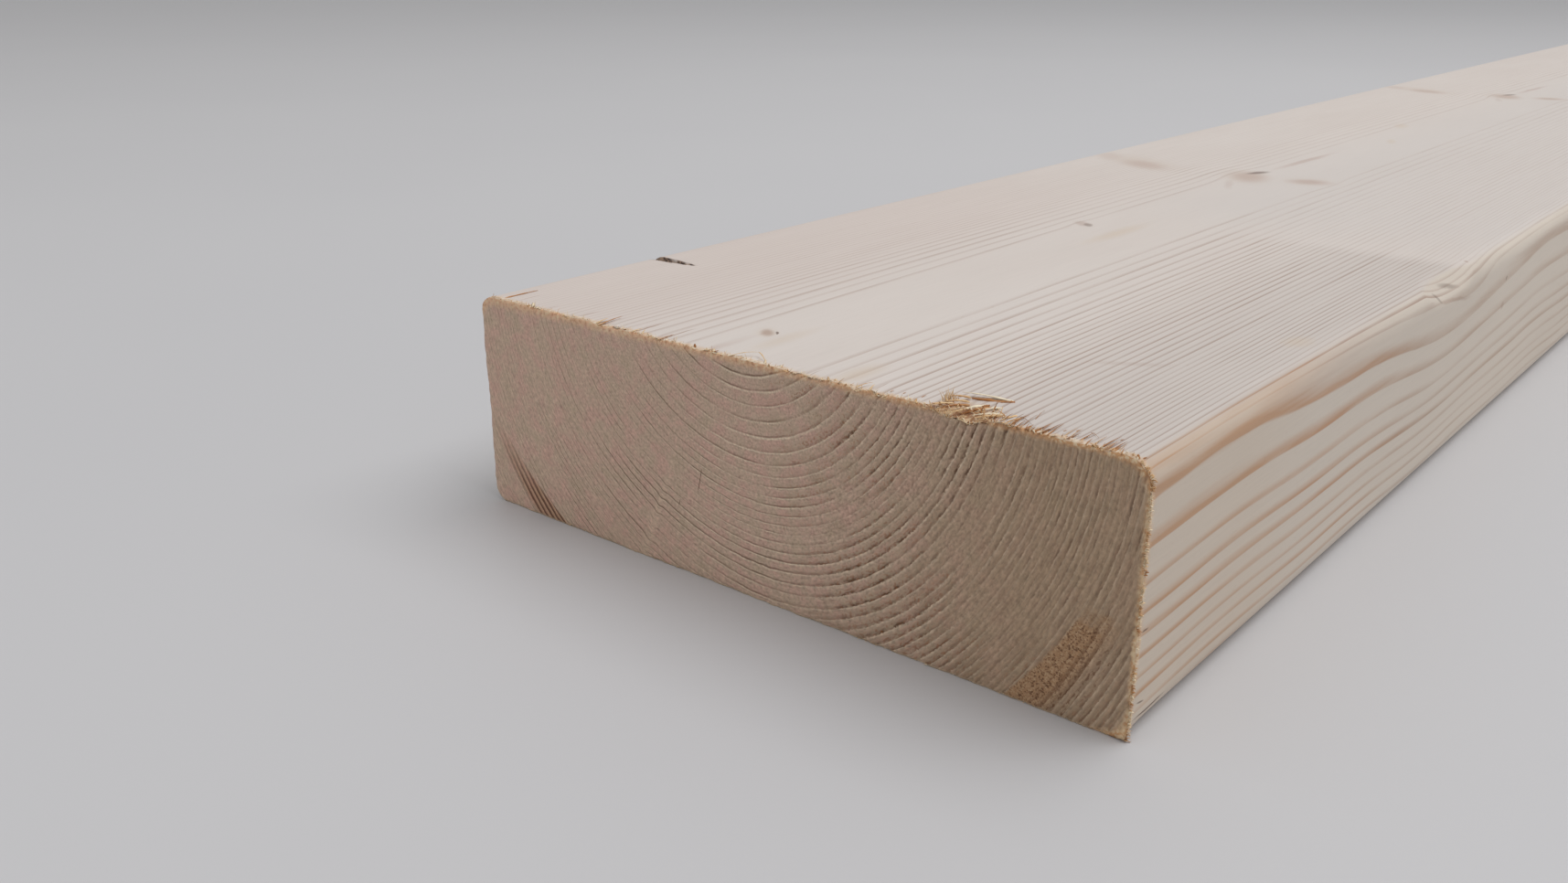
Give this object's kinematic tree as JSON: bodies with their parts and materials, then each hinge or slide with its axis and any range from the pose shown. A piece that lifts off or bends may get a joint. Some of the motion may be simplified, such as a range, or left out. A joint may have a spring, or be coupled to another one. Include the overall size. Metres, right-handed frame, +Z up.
{
  "type": "timber plank",
  "caption": "Planed softwood plank of rectangular section with rounded long edges and square sawn ends, for framing, shelving and general building work.",
  "frame": {"origin": "middle of the underside", "axes": "+X across the width, +Y along the grain away from the front end, +Z up through the thickness"},
  "size_m": [0.145, 1.8, 0.044],
  "materials": {
    "timber": "planed, unfinished, with sawn ends"
  },
  "bodies": {
    "root": {"plank": "timber"}
  },
  "joints": []
}
